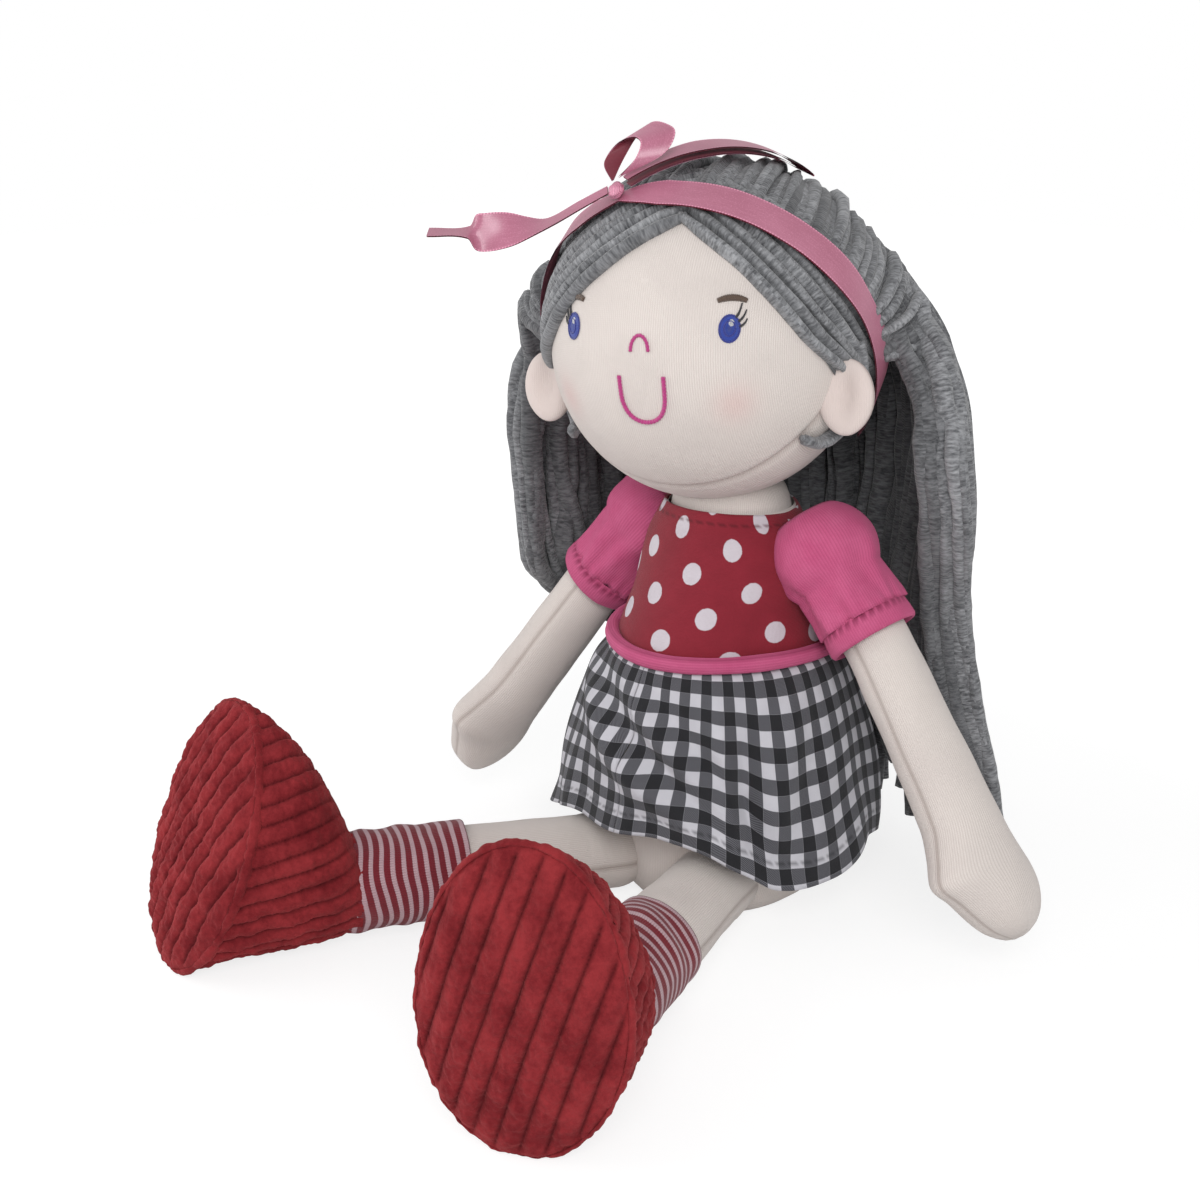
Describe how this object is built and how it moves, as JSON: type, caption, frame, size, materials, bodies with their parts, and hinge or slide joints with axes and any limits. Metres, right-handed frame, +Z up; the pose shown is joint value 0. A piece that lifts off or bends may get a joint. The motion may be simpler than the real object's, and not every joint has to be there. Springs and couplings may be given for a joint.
{
  "type": "rag doll",
  "caption": "Sitting cloth doll with jersey-strip hair, a satin ribbon, a dotted bodice, a checked skirt, striped socks and corded shoes; head, arms and legs move.",
  "frame": {"origin": "the seat: a point on the flat underside of the torso, midway between the hips and under the neck", "axes": "+Z up, -Y the way the doll faces, +X towards its own left hand"},
  "size_m": [0.28, 0.3082, 0.3083],
  "materials": {
    "cream_knit": "fine warp knit, matt",
    "stuffing_fibre": "loose polyester fibre",
    "hair_jersey": "melange jersey strips, matt",
    "satin_ribbon": "satin with a picot edge",
    "dotted_cotton": "printed poplin, white dots",
    "pink_jersey": "jersey, matt",
    "checked_cotton": "woven check in black and white",
    "striped_knit": "knitted stripes in red and white",
    "corded_velvet": "corded velvet with a soft pile",
    "magenta_thread": "embroidery thread",
    "blue_thread": "satin stitch",
    "brown_thread": "satin stitch"
  },
  "bodies": {
    "torso": {"torso_front_panel": "cream_knit", "torso_back_panel": "cream_knit", "torso_stuffing": "stuffing_fibre", "bodice": "dotted_cotton", "waist_piping": "pink_jersey", "skirt_left": "checked_cotton", "skirt_right": "checked_cotton"},
    "neck": {"neck": "cream_knit", "hair_back_lower_left": "hair_jersey", "hair_back_lower_right": "hair_jersey", "hair_side_lower_left": "hair_jersey", "hair_side_lower_right": "hair_jersey"},
    "head": {"face_panel": "cream_knit", "head_back_panel": "cream_knit", "head_stuffing": "stuffing_fibre", "ear_left": "cream_knit", "ear_right": "cream_knit", "eye_left": "blue_thread", "eye_right": "blue_thread", "brow_left": "brown_thread", "brow_right": "brown_thread", "nose_stitch": "magenta_thread", "mouth_stitch": "magenta_thread", "hair_cap_left": "hair_jersey", "hair_cap_right": "hair_jersey", "hair_back_upper_left": "hair_jersey", "hair_back_upper_right": "hair_jersey", "hair_side_upper_left": "hair_jersey", "hair_side_upper_right": "hair_jersey", "ribbon_band": "satin_ribbon", "bow_knot": "satin_ribbon", "bow_loop_front": "satin_ribbon", "bow_loop_back": "satin_ribbon", "ribbon_tail": "satin_ribbon"},
    "shoulder_left": {"armhole_seam_left": "cream_knit"},
    "arm_left": {"sleeve_left": "pink_jersey", "sleeve_hem_left": "pink_jersey", "arm_skin_left": "cream_knit", "arm_stuffing_left": "stuffing_fibre"},
    "hip_left": {"hip_seam_left": "cream_knit"},
    "leg_left": {"leg_skin_left": "cream_knit", "leg_stuffing_left": "stuffing_fibre", "sock_left": "striped_knit", "shoe_upper_left": "corded_velvet", "shoe_stuffing_left": "stuffing_fibre", "shoe_sole_left": "corded_velvet"},
    "shoulder_right": {"armhole_seam_right": "cream_knit"},
    "arm_right": {"sleeve_right": "pink_jersey", "sleeve_hem_right": "pink_jersey", "arm_skin_right": "cream_knit", "arm_stuffing_right": "stuffing_fibre"},
    "hip_right": {"hip_seam_right": "cream_knit"},
    "leg_right": {"leg_skin_right": "cream_knit", "leg_stuffing_right": "stuffing_fibre", "sock_right": "striped_knit", "shoe_upper_right": "corded_velvet", "shoe_stuffing_right": "stuffing_fibre", "shoe_sole_right": "corded_velvet"}
  },
  "joints": [
    {"name": "neck_turn", "type": "hinge", "parent": "torso", "child": "neck", "pos_m": [0, 0, 0.158], "axis": [0, 0, 1], "range_deg": [-30, 30], "deforming": ["hair_back_lower_left", "hair_back_lower_right", "hair_side_lower_left", "hair_side_lower_right"]},
    {"name": "head_nod", "type": "hinge", "parent": "neck", "child": "head", "pos_m": [0, 0, 0.158], "axis": [0.9611, 0.276, 0], "range_deg": [-12, 12], "deforming": ["hair_back_upper_left", "hair_back_upper_right", "hair_side_upper_left", "hair_side_upper_right"]},
    {"name": "shoulder_swing_left", "type": "hinge", "parent": "torso", "child": "shoulder_left", "pos_m": [0.043, 0.005, 0.148], "axis": [-1, 0, 0], "range_deg": [-15, 100]},
    {"name": "arm_raise_left", "type": "hinge", "parent": "shoulder_left", "child": "arm_left", "pos_m": [0.043, 0.005, 0.148], "axis": [0, -1, 0], "range_deg": [-2, 55]},
    {"name": "shoulder_swing_right", "type": "hinge", "parent": "torso", "child": "shoulder_right", "pos_m": [-0.043, 0.005, 0.148], "axis": [-1, 0, 0], "range_deg": [-15, 100]},
    {"name": "arm_raise_right", "type": "hinge", "parent": "shoulder_right", "child": "arm_right", "pos_m": [-0.043, 0.005, 0.148], "axis": [0, 0.9722, -0.2341], "range_deg": [-2, 55]},
    {"name": "hip_swing_left", "type": "hinge", "parent": "torso", "child": "hip_left", "pos_m": [0.024, -0.031, 0.0175], "axis": [-1, 0, 0], "range_deg": [-80, 40], "deforming": ["skirt_left"]},
    {"name": "leg_splay_left", "type": "hinge", "parent": "hip_left", "child": "leg_left", "pos_m": [0.024, -0.031, 0.0175], "axis": [0, 0, 1], "range_deg": [-10, 15]},
    {"name": "hip_swing_right", "type": "hinge", "parent": "torso", "child": "hip_right", "pos_m": [-0.024, -0.043, 0.0175], "axis": [-1, 0, 0], "range_deg": [-80, 40], "deforming": ["skirt_right"]},
    {"name": "leg_splay_right", "type": "hinge", "parent": "hip_right", "child": "leg_right", "pos_m": [-0.024, -0.043, 0.0175], "axis": [0, 0, -1], "range_deg": [-10, 15]}
  ]
}
